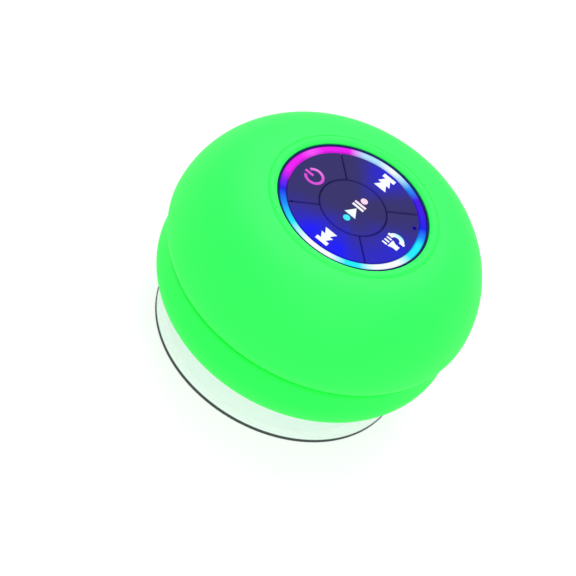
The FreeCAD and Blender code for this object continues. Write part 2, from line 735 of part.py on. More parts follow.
def suction_cup():
    """Clear soft cup: a thin bell with a flat sealing rim, and a stem that plugs into the collar."""
    top = COLLAR_Z[2] - 0.2
    shoulder = COLLAR_Z[0] - 0.1
    outline = Outline(0, 5.8).to((0, top), (STEM_R - 0.7, top), (STEM_R, top - 0.7))
    outline.to((STEM_R, shoulder), (7.4, shoulder)).through((8.6, 8.5), (9.4, 7.5))
    outline.through((20.5, 4.0), (CUP_R - 0.5, 1.25)).through((CUP_R - 0.1, 1.0), (CUP_R, 0.6))
    outline.to((CUP_R, 0), (CUP_R - 4.0, 0))
    return outline.through((15.5, 4.36), (1.5, 5.8)).spin()


# ---- screws ----
def screw(place, z0, length, radius, head_radius, head_height, head_below=True):
    """A pan-head screw, its shank starting at z0, its head below or above, with a cross slot."""
    shank = rod(radius, z0, z0 + length, place)
    head_z = z0 - head_height if head_below else z0 + length
    head = rod(head_radius, head_z, head_z + head_height, place)
    slot_z = head_z - 0.1 if head_below else head_z + head_height - 0.5
    slots = [block((head_radius * 1.2, 0.5, 0.6), place, slot_z, a) for a in (0, 90)]
    return fuse([shank, head]).cut(slots[0]).cut(slots[1])


def housing_screws():
    return [screw(p, 19.0, 17.0, 1.2, 2.1, 1.6) for p in four(HOUSING_BOSS_R)]


def cover_screws():
    return [screw(p, BODY_BOTTOM + 1.0, 3.0, 0.9, 1.8, 0.9) for p in four(25.0)]


def retainer_screws():
    return [screw(polar(11.0, 90 + 120 * n), 12.2, 4.0, 0.6, 1.1, 0.6, False) for n in range(3)]


def board_screws():
    """Screws of the main board from below, and of the charging board from above."""
    main = [screw(p, BOARD_Z[0], 6.0, 1.0, 1.8, 1.3) for p in four(BOARD_BOSS_R, 0)]
    port = [screw(V(x, 30.0, 0), 14.6, 3.6, 0.9, 1.5, 1.0, False) for x in (-6.2, 6.2)]
    return main + port


PIECES = {
    "dome_skin": dome_skin,
    "upper_housing": upper_housing,
    "lower_housing": lower_housing,
    "bottom_cover": bottom_cover,
    "collar_retainer": collar_retainer,
    "sound_mesh": sound_mesh,
    "body_gasket": body_gasket,
    "keypad_frame": keypad_frame,
    "light_ring": light_ring,
    "keypad_membrane": keypad_membrane,
    "keypad_board": keypad_board,
    "status_pipe": status_pipe,
    "board_spacers": board_spacers,
    "board_link": board_link,
    "main_board": main_board,
    "board_chips": board_chips,
    "rgb_leds": rgb_leds,
    "microphone": microphone,
    "wire_connectors": wire_connectors,
    "battery_pad": battery_pad,
    "battery": battery,
    "driver_gasket": lambda: ring(SOUND_HOLE_R, DRIVER_R - 0.2, BAFFLE_TOP, 16.4),
    "driver_frame": driver_frame,
    "driver_surround": driver_surround,
    "driver_spider": driver_spider,
    "driver_cone": driver_cone,
    "dust_cap": dust_cap,
    "voice_coil": voice_coil,
    "driver_top_plate": lambda: ring(7.65, 14.5, PLATE_Z, MAGNET_Z[0]),
    "driver_magnet": lambda: ring(9.5, 16.0, *MAGNET_Z),
    "driver_yoke": driver_yoke,
    "driver_terminals": driver_terminals,
    "speaker_leads": speaker_leads,
    "charging_leads": charging_leads,
    "battery_leads": battery_leads,
    "charging_board": charging_board,
    "usb_socket": usb_socket,
    "port_cover": port_cover,
    "port_cover_root": port_cover_root,
    "cup_collar": cup_collar,
    "suction_cup": suction_cup,
    "housing_screws": housing_screws,
    "cover_screws": cover_screws,
    "retainer_screws": retainer_screws,
    "board_screws": board_screws,
}

os.makedirs("parts", exist_ok=True)
for piece_name, make in PIECES.items():
    save(piece_name, make())
for key in KEYS:
    save(f"{key}_key", key_cap(key))
    save(f"{key}_symbol", LEGENDS[key](KEYPAD_Z - LEGEND_DEPTH, KEYPAD_Z + LEGEND_PROUD))
    save(f"{key}_pad", key_pad(key))
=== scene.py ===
"""Looks of the round shower speaker: a lit keypad in a green silicone skin, on a clear suction cup.

Lengths in the helpers are in millimetres and are turned into metres where a mesh is made. The cup's rim
stands on z = 0, the keypad faces +Z and the charging port is on the +Y side.
"""

import math

import bmesh
import bpy
import numpy as np
from bpy.props import FloatProperty, FloatVectorProperty, IntProperty, PointerProperty
from mathutils import Matrix, Vector


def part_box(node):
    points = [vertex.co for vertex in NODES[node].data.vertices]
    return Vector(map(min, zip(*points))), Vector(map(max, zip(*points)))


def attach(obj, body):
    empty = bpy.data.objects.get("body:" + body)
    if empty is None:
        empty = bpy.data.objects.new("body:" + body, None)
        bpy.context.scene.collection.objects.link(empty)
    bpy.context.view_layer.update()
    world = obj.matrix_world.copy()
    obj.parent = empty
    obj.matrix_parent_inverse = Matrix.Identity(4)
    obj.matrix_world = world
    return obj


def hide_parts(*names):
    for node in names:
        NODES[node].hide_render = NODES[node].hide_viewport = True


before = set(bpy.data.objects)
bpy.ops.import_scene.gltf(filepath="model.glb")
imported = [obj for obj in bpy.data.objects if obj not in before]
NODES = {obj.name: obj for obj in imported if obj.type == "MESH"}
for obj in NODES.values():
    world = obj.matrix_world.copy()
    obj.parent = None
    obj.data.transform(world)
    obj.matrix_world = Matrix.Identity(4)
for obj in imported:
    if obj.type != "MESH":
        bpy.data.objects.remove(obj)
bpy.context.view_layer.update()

bl_info = {
    "name": "Shower speaker",
    "version": (1, 0, 0),
    "blender": (4, 5, 0),
    "location": "3D View > Sidebar > Speaker",
    "description": "Dresses the packed shower speaker with fine surfaces and finishes",
    "category": "Object",
}

MM = 0.001
KEYS = ("play_pause", "next", "power", "previous", "call_light")
KEYPAD_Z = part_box("next_key")[1].z / MM
OPENING_R = 21.3
RING_WIDTH = 1.9
DOME_CREST = 0.45  # height of the dome's crest above the keys
DOME_CREST_R = 23.9
DOME_RADII = (16.5, 25.5, 6.4)  # shoulder, flank and lip
DOME_TURN = 44.4  # degrees at which the shoulder becomes the flank
LIP_END = -69.6
BAND_START = (39.23, 25.8)
BAND_RADII = (1.2, 40.0, 9.5, 14.0, 25.0)
BAND_TURNS = (11.5, 5.0, -18.0, -46.0)  # degrees at which each arc becomes the next
CUP_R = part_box("suction_cup")[1].x / MM
SHELL_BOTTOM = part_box("bottom_cover")[0].z / MM


# ---- sizes and colours that a user would change ----
def length(name, default, description):
    return FloatProperty(name=name, description=description, default=default * MM, unit="LENGTH", precision=5)


def colour(name, default, description):
    return FloatVectorProperty(
        name=name, description=description, default=default, subtype="COLOR", size=3, min=0.0, max=1.0
    )


class SpeakerSizes(bpy.types.PropertyGroup):
    skin_thickness: length("Skin thickness", 1.6, "Wall of the silicone skin")
    bead_height: length("Bead height", 0.95, "How far the bead round the keypad stands above the keys")
    cover_thickness: length("Cover thickness", 1.35, "Wall of the port cover")
    skin_grain: length("Skin grain", 0.16, "Width of one speck of the silicone's fine grain")
    cup_wall: length("Cup wall", 1.3, "Wall of the clear cup halfway to its rim")
    cover_edge: length("Cover edge", 0.35, "Rounding of the port cover's edge")
    around: IntProperty(name="Steps around", description="Steps of each round surface", default=288, min=48)


class SpeakerColours(bpy.types.PropertyGroup):
    silicone: colour("Silicone", (0.010, 0.93, 0.082), "The vivid green of skin, band and port cover")
    cup: colour("Cup", (0.52, 0.68, 0.66), "The tint of the clear cup where it is seen at a slant")
    # A painted shade: the dark line that refraction makes at the cup's edge, painted as a colour.
    cup_rim_painted_shade: colour("Cup rim", (0.003, 0.012, 0.014), "The dark line at the cup's edge")
    # A painted glow: key_finish emits this colour over the keys' top faces, whose base colour is near black.
    keys: colour("Keys", (0.030, 0.023, 0.128), "The smoked plastic of the keys")
    glow: colour("Glow", (0.0, 0.0, 0.98), "The light that leaks from the ring into the keys")
    floor: colour("Floor", (0.92, 0.94, 0.94), "The plain floor")


# ---- surfaces ----
def arc(centre, radius, start, end, steps=24):
    """Points (r, z) on a circle about centre, from one angle in degrees to another, both ends included."""
    a = np.radians(np.linspace(start, end, steps + 1))
    return np.column_stack([centre[0] + radius * np.cos(a), centre[1] + radius * np.sin(a)])


def line(start, end, steps=1):
    """Points (r, z) evenly spaced on a straight run, both ends included."""
    t = np.linspace(0.0, 1.0, steps + 1)[:, None]
    return np.array(start) * (1 - t) + np.array(end) * t


def bowed(start, pull, end, steps=60):
    """A quadratic curve from start to end whose middle control point is pull."""
    t = np.linspace(0.0, 1.0, steps + 1)[:, None]
    return (1 - t) ** 2 * np.array(start) + 2 * t * (1 - t) * np.array(pull) + t**2 * np.array(end)


def joined(*runs):
    """One run of points from several, without the points that repeat where they meet."""
    points = np.vstack(runs)
    step = np.linalg.norm(np.diff(points, axis=0), axis=1)
    return points[np.concatenate([[True], step > 1e-5])]


def softened(profile, radius, steps=4, closed=True):
    """A profile whose sharp corners are rounded.

    Each corner that turns by more than 25 degrees is swapped for a parabola whose ends lie up to
    radius away along the two runs: a quadratic curve with the corner as its middle control point.
    """
    count = len(profile)
    before, after = np.roll(profile, 1, axis=0), np.roll(profile, -1, axis=0)
    back, on = before - profile, after - profile
    back_run, on_run = np.linalg.norm(back, axis=1), np.linalg.norm(on, axis=1)
    turn = np.degrees(np.arccos(np.clip(-(back * on).sum(1) / (back_run * on_run), -1, 1)))
    made = []
    for n in range(count):
        if turn[n] < 25 or (not closed and n in (0, count - 1)):
            made.append(profile[n : n + 1])
            continue
        reach = min(radius, 0.45 * back_run[n], 0.45 * on_run[n])
        start = profile[n] + back[n] / back_run[n] * reach
        end = profile[n] + on[n] / on_run[n] * reach
        made.append(bowed(start, profile[n], end, steps))
    return np.vstack(made)


def mesh_piece(name, grids, loops):
    """A closed mesh piece from grids of points in millimetres.

    Each grid is an array (rows, columns, 3) whose neighbouring points make quads. The rows always
    join up into a ring, and the columns do where loops says so. Points that coincide are merged,
    which closes the poles, and every face is turned outwards.
    """
    verts, faces, first = [], [], 0
    for grid, loop in zip(grids, loops):
        rows, columns = grid.shape[:2]
        index = first + np.arange(rows * columns).reshape(rows, columns)
        here = index if loop else index[:, :-1]
        along = np.roll(index, -1, axis=1) if loop else index[:, 1:]
        faces.append(np.stack([here, np.roll(here, -1, 0), np.roll(along, -1, 0), along], -1).reshape(-1, 4))
        verts.append(grid.reshape(-1, 3))
        first += rows * columns
    mesh = bpy.data.meshes.new(name)
    mesh.from_pydata(np.vstack(verts) * MM, [], np.vstack(faces))
    work = bmesh.new()
    work.from_mesh(mesh)
    bmesh.ops.remove_doubles(work, verts=work.verts, dist=1e-8)
    bmesh.ops.dissolve_degenerate(work, edges=work.edges, dist=1e-8)
    bmesh.ops.recalc_face_normals(work, faces=work.faces)
    work.to_mesh(mesh)
    work.free()
    mesh.polygons.foreach_set("use_smooth", np.ones(len(mesh.polygons), bool))
    piece = bpy.data.objects.new(name, mesh)
    bpy.context.scene.collection.objects.link(piece)
    return piece


def spun(profile, around):
    """A profile of (r, z) carried round the Z axis: x = r cos a, y = r sin a."""
    a = np.linspace(0, 2 * math.pi, around, endpoint=False)[:, None]
    r, z = profile[:, 0], profile[:, 1]
    return np.stack([r * np.cos(a), r * np.sin(a), z + 0 * a], -1)


def dome_profile(inset):
    """The dome's three arcs, from the bead down to the lip that curls under, moved inwards by inset."""
    shoulder, flank, lip = DOME_RADII
    turn = math.radians(DOME_TURN)
    first = (DOME_CREST_R, KEYPAD_Z + DOME_CREST - shoulder)
    step = shoulder - flank
    second = (first[0] + step * math.cos(turn), first[1] + step * math.sin(turn))
    third = (second[0] + flank - lip, second[1])
    return joined(
        arc(first, shoulder - inset, 90, DOME_TURN, 30),
        arc(second, flank - inset, DOME_TURN, 0, 30),
        arc(third, lip - inset, 0, LIP_END if inset == 0 else -90, 24),
    )


def band_radius(z):
    """Outside radius of the lower band at a height.

    Its section is five arcs that run on smoothly: each centre lies on the line from the last centre
    through the point where the two arcs meet.
    """
    centres = [BAND_START]
    for radius, following, turn in zip(BAND_RADII, BAND_RADII[1:], BAND_TURNS):
        r, centre = centres[-1]
        step, slope = radius - following, math.radians(turn)
        centres.append((r + step * math.cos(slope), centre + step * math.sin(slope)))
    arcs = list(zip(centres, BAND_RADII))
    found = [r + np.sqrt(np.maximum(radius**2 - (z - c) ** 2, 0)) for (r, c), radius in arcs]
    ends = [c + radius * math.sin(math.radians(turn)) for ((_, c), radius), turn in zip(arcs, BAND_TURNS)]
    return np.select([z > end for end in ends], found[:-1], found[-1])


def wall_pad(half_width, z0, z1, corner, outside, inside, edge, around=128):
    """A pad with round corners that follows the band's wall on its +Y side.

    In plan seen along Y it is a rounded rectangle: a square of half sizes less the corner radius, grown
    by that radius in the direction of the outward normal. Its section runs from the middle of the
    outer face to its rounded edge, across the edge and back to the middle of the inner face, and
    its depth is counted inwards from the wall's surface.
    """
    a = np.linspace(0, 2 * math.pi, around, endpoint=False)
    half_height, middle = (z1 - z0) / 2, (z1 + z0) / 2
    flat_x, flat_z = half_width - corner, half_height - corner
    x = np.clip(np.cos(a) * 1e3, -1, 1) * flat_x + corner * np.cos(a)
    z = np.clip(np.sin(a) * 1e3, -1, 1) * flat_z + corner * np.sin(a)
    turn = np.radians(np.linspace(90, 0, 7))
    face = np.linspace(0.0, 1.0, 9)
    share = np.concatenate([face[:-1], np.ones(8), face[:-1][::-1]])
    pull = np.concatenate([np.zeros(8), edge * (1 - np.cos(turn)), [0], np.zeros(8)])
    depth = np.concatenate(
        [np.full(8, outside), outside + edge * (1 - np.sin(turn)), [inside], np.full(8, inside)]
    )
    px = share * (x[:, None] - pull * np.cos(a)[:, None])
    pz = middle + share * (z[:, None] - pull * np.sin(a)[:, None])
    radius = band_radius(pz) - depth
    return np.stack([px, np.sqrt(radius**2 - px**2), pz], -1)


# ---- shader maths ----
class Shade:
    """A shader socket in an expression: arithmetic on it adds Math nodes to its material."""

    def __init__(self, finish, socket):
        self.finish = finish
        self.socket = socket

    def math(self, operation, *values):
        made = self.finish.node("ShaderNodeMath", {"operation": operation}, dict(enumerate(values)))
        return Shade(self.finish, made.outputs[0])

    def __add__(self, other):
        return self.math("ADD", self, other)

    def __sub__(self, other):
        return self.math("SUBTRACT", self, other)

    def __rsub__(self, other):
        return self.math("SUBTRACT", other, self)

    def __mul__(self, other):
        return self.math("MULTIPLY", self, other)

    def __truediv__(self, other):
        return self.math("DIVIDE", self, other)

    def __pow__(self, other):
        return self.math("POWER", self, other)

    __radd__ = __add__
    __rmul__ = __mul__

    def rise(self, start, end):
        """0 below start, 1 above end, and a smooth step between them."""
        settings = {"interpolation_type": "SMOOTHSTEP"}
        inputs = {"Value": self, "From Min": start, "From Max": end}
        return Shade(self.finish, self.finish.node("ShaderNodeMapRange", settings, inputs).outputs["Result"])


class Finish:
    """A material with one Principled surface, and the means to add nodes to it."""

    def __init__(self, name, **surface):
        self.material = bpy.data.materials.new(name)
        self.material.use_nodes = True
        self.tree = self.material.node_tree
        self.tree.nodes.clear()
        self.surface = self.node("ShaderNodeBsdfPrincipled")
        self.output = self.node("ShaderNodeOutputMaterial", {}, {"Surface": self.surface.outputs["BSDF"]})
        self.set(**surface)

    def node(self, kind, settings=None, inputs=None):
        """A new node: its settings first, then the values or links of its inputs."""
        made = self.tree.nodes.new(kind)
        for name, value in (settings or {}).items():
            if name == "stops":
                ramp = made.color_ramp
                while len(ramp.elements) < len(value):
                    ramp.elements.new(1.0)
                for element, (position, shade) in zip(ramp.elements, value):
                    element.position = position
                    element.color = (*shade, 1.0)
            else:
                setattr(made, name, value)
        for name, value in (inputs or {}).items():
            self.feed(made.inputs[name], value)
        return made

    def feed(self, socket, value):
        if isinstance(value, Shade):
            self.tree.links.new(value.socket, socket)
        elif isinstance(value, bpy.types.NodeSocket):
            self.tree.links.new(value, socket)
        elif socket.type == "RGBA" and len(value) == 3:
            socket.default_value = (*value, 1.0)
        else:
            socket.default_value = value

    def set(self, **values):
        """Feeds inputs of the Principled surface: base_color sets Base Color."""
        for name, value in values.items():
            words = [w.upper() if w == "ior" else w.capitalize() for w in name.split("_")]
            self.feed(self.surface.inputs[" ".join(words)], value)
        return self

    def place(self):
        """x, y, z in millimetres and the point itself, in the row frame."""
        point = self.node("ShaderNodeTexCoord").outputs["Object"]
        split = self.node("ShaderNodeSeparateXYZ", {}, {"Vector": point})
        return [Shade(self, split.outputs[n]) * (1 / MM) for n in range(3)] + [point]

    def polar(self):
        """Distance from the Z axis in millimetres, and the bearing from +X as a share of a full turn."""
        x, y, _, _ = self.place()
        radius = (x * x + y * y) ** 0.5
        turn = x.math("ARCTAN2", y, x) / (2 * math.pi)
        return radius, turn.math("FRACT", turn + 1.0)

    def noise(self, width, detail=2.0, stretch=(1, 1, 1)):
        """Smooth noise from 0 to 1 whose specks are about width millimetres wide."""
        point = self.place()[3]
        mapped = self.node("ShaderNodeMapping", {}, {"Vector": point, "Scale": stretch}).outputs[0]
        inputs = {"Vector": mapped, "Scale": 1 / (width * MM), "Detail": detail}
        return Shade(self, self.node("ShaderNodeTexNoise", {}, inputs).outputs["Fac"])

    def mix(self, factor, first, second):
        """One colour blended into another."""
        made = self.node("ShaderNodeMix", {"data_type": "RGBA"})
        self.feed(made.inputs["Factor"], factor)
        self.feed(made.inputs[6], first)
        self.feed(made.inputs[7], second)
        return made.outputs[2]

    def ramp(self, value, stops):
        """A colour read from a list of (position, colour)."""
        return self.node("ShaderNodeValToRGB", {"stops": stops}, {"Fac": value}).outputs["Color"]

    def bump(self, height, depth):
        """A bump of the given depth in millimetres."""
        inputs = {"Height": height, "Distance": depth * MM, "Strength": 1.0}
        self.set(normal=self.node("ShaderNodeBump", {}, inputs).outputs["Normal"])
        return self


def from_sheet(red, green, blue):
    """A colour given as 0 to 255 display values, made linear."""
    return tuple(
        v / 255 / 12.92 if v <= 10 else ((v / 255 + 0.055) / 1.055) ** 2.4 for v in (red, green, blue)
    )


# ---- finishes ----
def silicone(name, tint, grain, gloss=0.4):
    """Soft matte silicone: a fine even grain and a faint clouding of its tone."""
    finish = Finish(name, specular_ior_level=gloss)
    cloud = finish.noise(9.0)
    paler = tuple(min(1.0, c * 1.04 + 0.004) for c in tint)
    finish.set(base_color=finish.mix(cloud, tint, paler))
    speck = finish.noise(grain, 1.0)
    finish.set(roughness=0.52 + speck * 0.16)
    return finish.bump(speck + cloud * 0.3, 0.006)


def moulded(name, tint, grain=0.25, rough=0.45, depth=0.006):
    """Moulded plastic: spark-eroded grain, and a tone that drifts a little over the piece."""
    finish = Finish(name)
    cloud = finish.noise(6.0)
    darker = tuple(c * 0.86 for c in tint)
    finish.set(base_color=finish.mix(cloud, darker, tint))
    speck = finish.noise(grain, 3.0)
    finish.set(roughness=rough - 0.08 + speck * 0.18)
    return finish.bump(speck, depth)


def brushed(name, tint, rough=0.28, metallic=1.0):
    """Plated or rolled metal with fine scratches along X and a few worn patches."""
    finish = Finish(name, metallic=metallic)
    scratch = finish.noise(0.5, 6.0, (0.04, 1.0, 1.0))
    patch = finish.noise(3.0)
    finish.set(base_color=finish.mix(patch.rise(0.3, 0.75), tint, tuple(c * 0.8 for c in tint)))
    finish.set(roughness=rough + scratch * 0.25)
    return finish.bump(scratch, 0.003)


def circuit(name):
    """Green solder mask over copper tracks, with bare pads here and there."""
    finish = Finish(name)
    point = finish.place()[3]
    cells = finish.node("ShaderNodeTexVoronoi", {"distance": "CHEBYCHEV"}, {"Vector": point, "Scale": 420.0})
    near = Shade(finish, cells.outputs["Distance"])
    track = near.rise(0.30, 0.34) * (1 - near.rise(0.40, 0.44))
    pad = 1 - near.rise(0.10, 0.13)
    mask = finish.mix(track, (0.010, 0.095, 0.040), (0.020, 0.19, 0.075))
    finish.set(base_color=finish.mix(pad, mask, (0.62, 0.55, 0.38)))
    finish.set(metallic=pad, roughness=0.34 - pad * 0.1)
    return finish.bump(track + pad, 0.03)


def woven(name, tint, width=0.35):
    """Cloth or mesh: two crossed waves that lift the threads."""
    finish = Finish(name, specular_ior_level=0.2)
    x, y, _, _ = finish.place()
    wave = 2 * math.pi / width
    across = x.math("SINE", x * wave)
    along = y.math("SINE", y * wave)
    weave = across * along * 0.5 + 0.5
    # The dips between the threads are darkened: painted shade.
    hollow_shade = tuple(c * 0.45 for c in tint)
    finish.set(base_color=finish.mix(weave, hollow_shade, tint), roughness=0.75 + weave * 0.15)
    return finish.bump(weave, 0.05)


def pulp(name, tint):
    """Pressed paper pulp with short fibres."""
    finish = Finish(name, specular_ior_level=0.2)
    fibre = finish.noise(0.6, 8.0, (1.0, 0.35, 1.0))
    finish.set(base_color=finish.mix(fibre, tuple(c * 0.6 for c in tint), tint), roughness=0.8 + fibre * 0.1)
    return finish.bump(fibre, 0.03)


def wound(name, tint):
    """Fine enamelled wire in even turns: a wave along Z."""
    finish = Finish(name, metallic=0.85)
    _, _, z, _ = finish.place()
    turns = z.math("SINE", z * (2 * math.pi / 0.2)) * 0.5 + 0.5
    # The troughs between the turns are darkened: painted shade.
    finish.set(base_color=finish.mix(turns, tuple(c * 0.55 for c in tint), tint), roughness=0.3 + turns * 0.1)
    return finish.bump(turns, 0.04)


WHITE = from_sheet(247, 252, 255)
ICE = from_sheet(178, 226, 253)
CYAN = from_sheet(24, 238, 250)
AZURE = from_sheet(18, 146, 251)
BLUE = from_sheet(14, 24, 236)
INDIGO = from_sheet(64, 8, 229)
VIOLET = from_sheet(128, 20, 245)
MAGENTA = from_sheet(241, 16, 243)
PINK = from_sheet(251, 84, 249)

# The changing colours of the ring, by bearing from +X.
RING_LIGHTS = (
    (0, WHITE), (14, ICE), (25, ICE), (37, MAGENTA), (60, MAGENTA), (71, PINK), (82, MAGENTA),
    (101, MAGENTA), (113, VIOLET), (123, BLUE), (138, AZURE), (156, CYAN), (175, WHITE), (195, WHITE),
    (208, CYAN), (219, CYAN), (232, WHITE), (254, WHITE), (267, CYAN), (283, CYAN), (291, AZURE),
    (301, BLUE), (318, INDIGO), (330, INDIGO), (341, AZURE), (351, ICE), (360, WHITE),
)

# How much blue leaks into the keys beside the ring, by bearing from +X.
KEY_GLOW = (
    (0, 0.58), (12, 0.5), (22, 0.17), (36, 0.0), (118, 0.02), (138, 0.18), (152, 0.45), (168, 1.0),
    (184, 0.7), (200, 1.0), (212, 0.6), (226, 0.44), (246, 0.5), (266, 0.6), (282, 0.26), (294, 0.08),
    (316, 0.0), (332, 0.06), (344, 0.3), (352, 0.55), (360, 0.58),
)

# A dim dark-blue painted glow on the sides of the keys: a painted shade that makes the gaps between them read
# dark.
GROOVE_SHADE_GLOW = (0.010, 0.007, 0.055)


def ring_finish():
    """Milky light guide: its light changes colour round the ring and darkens at both edges of its width."""
    finish = Finish("light_guide", base_color=(0.0, 0.0, 0.01), emission_strength=1.0, roughness=0.3)
    finish.set(specular_ior_level=0.03)
    radius, turn = finish.polar()
    lit = finish.ramp(turn, [(bearing / 360, tint) for bearing, tint in RING_LIGHTS])
    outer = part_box("light_ring")[1].x / MM
    inner = outer - RING_WIDTH
    core = radius.rise(inner, inner + 0.5) * (1 - radius.rise(outer - 0.35, outer))
    dimmed = finish.mix(0.25, lit, (0.0, 0.02, 0.25))
    return finish.set(emission_color=finish.mix(core, dimmed, lit))


def key_finish(colours):
    """Smoked plastic that the ring's blue light leaks into, strongest at the rim and in places.

    The top face glows with a painted glow: the keys' dark blue is emitted, not reflected, and the ring's
    leaked blue is added to it.
    The sides emit a dimmer dark blue, a painted shade, so the gaps between the keys read dark.
    """
    finish = Finish("smoked_key", specular_ior_level=0.04, emission_strength=1.0)
    radius, turn = finish.polar()
    leak = Shade(finish, finish.ramp(turn, [(bearing / 360, (v, v, v)) for bearing, v in KEY_GLOW]))
    spread = (radius / 15.5).math("MINIMUM", (radius / 15.5) ** 1.75, 1.0)
    speck = finish.noise(0.12, 2.0)
    finish.set(base_color=(0.001, 0.001, 0.006), roughness=0.30 + speck * 0.08)
    # Painted glow: the keys' dark blue and the ring's leaked blue are emitted, not reflected.
    glow = finish.mix(leak * spread, colours.keys, colours.glow)
    face = finish.place()[2].rise(KEYPAD_Z - 0.5, KEYPAD_Z - 0.12)
    # The sides below the top face emit the dim dark blue: painted shade for the gaps between the keys.
    finish.set(emission_color=finish.mix(face, GROOVE_SHADE_GLOW, glow))
    return finish.bump(speck, 0.002)


def symbol_finish(name, stops, start, end, slant=0.0):
    """A back-lit inlay whose colour changes across it: x plus slant times y runs from start to end."""
    finish = Finish("symbol_" + name, base_color=(0.01, 0.01, 0.01), roughness=0.35, emission_strength=1.0)
    finish.set(specular_ior_level=0.1)
    x, y, _, _ = finish.place()
    across = (x + y * slant - start) / (end - start)
    return finish.set(emission_color=finish.ramp(across, stops))


def clear_plastic(colours):
    """Clear soft PVC: seen straight on it all but vanishes, at a slant it mirrors, and its very edge is dark.

    The surface is mixed with a transparent one. The mix follows the slant of the surface, and rises to
    nearly solid in the last fraction of a millimetre before the rim, where the colour is painted dark: a
    painted shade standing for the dark line that refraction makes at the rim.
    """
    finish = Finish("clear_pvc", specular_ior_level=0.3, coat_roughness=0.04)
    radius, _ = finish.polar()
    # The last fraction of a millimetre before the rim gets the painted shade of the dark refraction line.
    edge = radius.rise(CUP_R - 0.36, CUP_R - 0.12)
    ripple = finish.noise(5.0, 1.0)
    finish.set(base_color=finish.mix(edge, colours.cup, colours.cup_rim_painted_shade), coat_weight=(1 - edge) * 0.3)
    finish.set(roughness=0.06 + ripple * 0.05 + edge * 0.4)
    finish.bump(ripple, 0.04)
    slant = finish.node("ShaderNodeLayerWeight", {}, {"Blend": 0.25}).outputs["Facing"]
    shown = Shade(finish, slant) * 0.46 + 0.01
    through = finish.node("ShaderNodeBsdfTransparent", {}, {"Color": (0.97, 1.0, 0.995, 1.0)})
    veil = finish.node("ShaderNodeMixShader")
    finish.feed(veil.inputs[0], shown + edge * (0.96 - shown))
    finish.feed(veil.inputs[1], through.outputs[0])
    finish.feed(veil.inputs[2], finish.surface.outputs[0])
    finish.feed(finish.output.inputs["Surface"], veil.outputs[0])
    return finish


def wear(nodes, finish):
    """Gives CAD nodes a finish."""
    for name in nodes:
        piece = NODES[name]
        if not piece.material_slots:
            piece.data.materials.append(None)
        for slot in piece.material_slots:
            slot.material = finish.material


def settings():
    scene = bpy.context.scene
    return scene.speaker_sizes, scene.speaker_colours


# ---- pieces ----
class SPEAKER_OT_skin(bpy.types.Operator):
    """The silicone skin: the dome's outside arcs, the lip curled under, the inside arcs and the bead"""

    bl_idname = "speaker.skin"
    bl_label = "Silicone skin"

    def execute(self, context):
        sizes, colours = settings()
        outer = dome_profile(0.0)
        inner = dome_profile(sizes.skin_thickness / MM)[::-1]
        start, end = OPENING_R, outer[0][0]
        rise = sizes.bead_height / MM - 0.2
        a = np.radians(np.linspace(0, 180, 25))
        across = (start + end - (end - start) * np.cos(a)) / 2
        bead = np.column_stack([across, KEYPAD_Z + 0.2 + rise * np.sin(a) ** 1.6])
        bead[-6:, 1] = np.maximum(bead[-6:, 1], outer[0][1] - 0.14)
        foot = line((start, inner[-1][1]), (start, KEYPAD_Z + 0.2), 3)
        profile = joined(foot, bead, outer, inner)
        profile = softened(profile, 0.25)
        piece = mesh_piece("skin", [spun(profile, sizes.around)], [True])
        grain = sizes.skin_grain / MM
        piece.data.materials.append(silicone("green_silicone", colours.silicone, grain).material)
        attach(piece, "housing")
        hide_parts("dome_skin")
        return {"FINISHED"}


class SPEAKER_OT_port_cover(bpy.types.Operator):
    """The silicone port cover: a pad that follows the wall, its plug, and the fixed root of its strap"""

    bl_idname = "speaker.port_cover"
    bl_label = "Port cover"

    def execute(self, context):
        sizes, colours = settings()
        low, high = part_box("port_cover")
        half = (high.x - low.x) / 2 / MM
        z0, z1 = low.z / MM, high.z / MM
        edge = sizes.cover_edge / MM
        cover = wall_pad(half, z0, z1, 1.5, 0.02, sizes.cover_thickness / MM, edge)
        socket_low, socket_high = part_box("usb_socket")
        middle = (socket_low.z + socket_high.z) / 2 / MM
        plug_half, plug_rise = 4.6, 1.75
        plug = wall_pad(plug_half, middle - plug_rise, middle + plug_rise, 1.7, 1.25, 2.25, 0.05)
        grain = sizes.skin_grain / MM
        finish = silicone("green_silicone_cover", colours.silicone, grain)
        piece = mesh_piece("port_flap", [cover, plug], [False, False])
        piece.data.materials.append(finish.material)
        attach(piece, "port_cover")
        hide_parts("port_cover")
        low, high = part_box("port_cover_root")
        wall = sizes.cover_thickness / MM
        root = wall_pad((high.x - low.x) / 2 / MM, low.z / MM, high.z / MM, 0.35, 0.05, wall, 0.12)
        piece = mesh_piece("port_strap", [root], [False])
        piece.data.materials.append(finish.material)
        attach(piece, "housing")
        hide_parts("port_cover_root")
        return {"FINISHED"}


